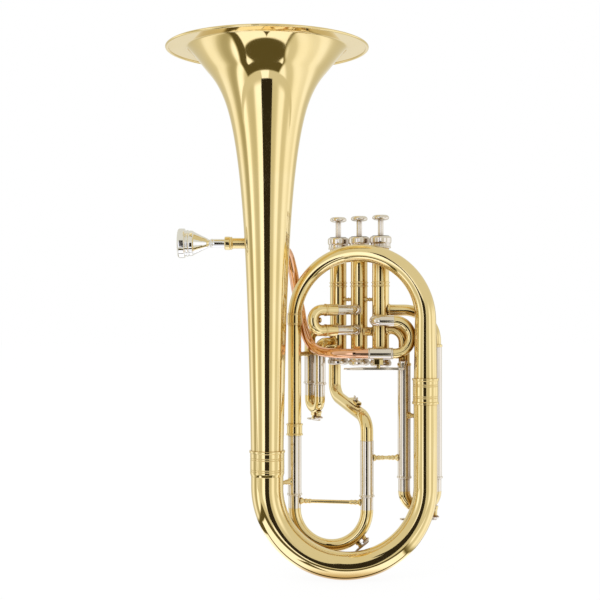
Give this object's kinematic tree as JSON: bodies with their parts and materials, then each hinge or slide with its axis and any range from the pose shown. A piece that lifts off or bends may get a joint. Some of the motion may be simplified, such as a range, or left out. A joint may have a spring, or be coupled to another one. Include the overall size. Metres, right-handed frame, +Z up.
{
  "type": "alto horn",
  "caption": "Alto horn with an upright bell, piston valves with their slides, water keys and a cup mouthpiece, in lacquered brass and nickel silver.",
  "frame": {"origin": "lowest point of the bottom bow, in the plane of the bell and the right-hand tube", "axes": "+Z up along the bell towards its rim, +X from the bell towards the right-hand tube, +Y towards the player"},
  "size_m": [0.2805, 0.203, 0.5325],
  "materials": {
    "lacquered_brass": "clear lacquered, polished",
    "nickel_silver": "polished nickel silver",
    "rose_brass": "clear lacquered, polished",
    "silver_plate": "silver plated, polished",
    "steel": "plain metal"
  },
  "bodies": {
    "horn": {"bell": "lacquered_brass", "bell_ferrule": "lacquered_brass", "bottom_bow": "lacquered_brass", "bottom_cap_1": "nickel_silver", "bottom_cap_2": "nickel_silver", "bottom_cap_3": "nickel_silver", "bow_brace": "lacquered_brass", "crook": "lacquered_brass", "crook_ferrule": "nickel_silver", "down_tube": "lacquered_brass", "first_sleeve_far": "nickel_silver", "first_sleeve_near": "nickel_silver", "first_slide_brace": "lacquered_brass", "knuckle_1_2": "lacquered_brass", "knuckle_2_3": "lacquered_brass", "leadpipe": "rose_brass", "leadpipe_ferrule": "nickel_silver", "leadpipe_key_saddle": "lacquered_brass", "lyre_holder": "lacquered_brass", "mouth_brace": "lacquered_brass", "receiver": "lacquered_brass", "return_tube": "lacquered_brass", "right_ferrule": "lacquered_brass", "second_sleeve_lower": "nickel_silver", "second_sleeve_upper": "nickel_silver", "sleeve_brace": "lacquered_brass", "third_sleeve_left": "nickel_silver", "third_sleeve_right": "nickel_silver", "third_slide_brace": "lacquered_brass", "top_bow": "lacquered_brass", "top_bow_ferrule": "lacquered_brass", "top_cap_1": "nickel_silver", "top_cap_2": "nickel_silver", "top_cap_3": "nickel_silver", "tuning_ferrule": "lacquered_brass", "tuning_sleeve_left": "nickel_silver", "tuning_sleeve_right": "nickel_silver", "valve_casing_1": "lacquered_brass", "valve_casing_2": "lacquered_brass", "valve_casing_3": "lacquered_brass", "valve_spring_1": "steel", "valve_spring_2": "steel", "valve_spring_3": "steel"},
    "tuning_slide": {"tuning_slide": "lacquered_brass", "tuning_slide_brace": "lacquered_brass"},
    "tuning_key": {"tuning_water_key": "lacquered_brass"},
    "first_slide": {"first_slide": "lacquered_brass"},
    "first_key": {"first_water_key": "lacquered_brass"},
    "second_slide": {"second_slide": "lacquered_brass"},
    "third_slide": {"third_slide": "lacquered_brass"},
    "third_key": {"third_water_key": "lacquered_brass"},
    "leadpipe_key": {"leadpipe_water_key": "nickel_silver"},
    "mouthpiece": {"mouthpiece": "silver_plate"},
    "lyre_screw": {"lyre_screw": "nickel_silver"},
    "valve_1": {"piston_1": "steel", "button_1": "nickel_silver"},
    "valve_2": {"piston_2": "steel", "button_2": "nickel_silver"},
    "valve_3": {"piston_3": "steel", "button_3": "nickel_silver"}
  },
  "joints": [
    {"name": "valve_1_press", "type": "slide", "parent": "horn", "child": "valve_1", "axis": [0, 0, -1], "range_m": [0, 0.0155], "stiffness_N_per_m": 100, "springref_m": -0.02, "deforming": ["valve_spring_1"]},
    {"name": "valve_2_press", "type": "slide", "parent": "horn", "child": "valve_2", "axis": [0, 0, -1], "range_m": [0, 0.0155], "stiffness_N_per_m": 100, "springref_m": -0.02, "deforming": ["valve_spring_2"]},
    {"name": "valve_3_press", "type": "slide", "parent": "horn", "child": "valve_3", "axis": [0, 0, -1], "range_m": [0, 0.0155], "stiffness_N_per_m": 100, "springref_m": -0.02, "deforming": ["valve_spring_3"]},
    {"name": "tuning_slide_pull", "type": "slide", "parent": "horn", "child": "tuning_slide", "axis": [0, 0, -1], "range_m": [0, 0.025]},
    {"name": "first_slide_pull", "type": "slide", "parent": "horn", "child": "first_slide", "axis": [0, 0, -1], "range_m": [-0.012, 0.012]},
    {"name": "second_slide_pull", "type": "slide", "parent": "horn", "child": "second_slide", "axis": [-0.9063, -0.4226, 0], "range_m": [0, 0.01]},
    {"name": "third_slide_pull", "type": "slide", "parent": "horn", "child": "third_slide", "axis": [0, 0, -1], "range_m": [-0.012, 0.025]},
    {"name": "tuning_key_press", "type": "hinge", "parent": "tuning_slide", "child": "tuning_key", "pos_m": [0.01496, 0.02051, 0.03065], "axis": [0.1498, 0.9887, 0], "range_deg": [0, 12], "stiffness_Nm_per_rad": 0.02, "springref_deg": -20.05},
    {"name": "first_key_press", "type": "hinge", "parent": "first_slide", "child": "first_key", "pos_m": [-0.03045, 0.0535, 0.15731], "axis": [0.8597, 0.5108, 0], "range_deg": [0, 12], "stiffness_Nm_per_rad": 0.02, "springref_deg": -20.05},
    {"name": "third_key_press", "type": "hinge", "parent": "third_slide", "child": "third_key", "pos_m": [0.07605, 0.022, 0.05915], "axis": [0, 1, 0], "range_deg": [0, 12], "stiffness_Nm_per_rad": 0.02, "springref_deg": -20.05},
    {"name": "leadpipe_key_press", "type": "hinge", "parent": "horn", "child": "leadpipe_key", "pos_m": [0.033, 0.009, 0.21259], "axis": [0, 1, 0], "range_deg": [0, 12], "stiffness_Nm_per_rad": 0.02, "springref_deg": -20.05},
    {"name": "mouthpiece_pull", "type": "slide", "parent": "horn", "child": "mouthpiece", "axis": [-1, 0, 0], "range_m": [0, 0.02]},
    {"name": "lyre_screw_turn", "type": "hinge", "parent": "horn", "child": "lyre_screw", "pos_m": [0.01112, 0.04146, 0.17446], "axis": [0.1164, -0.244, 0.9628], "continuous": true}
  ]
}
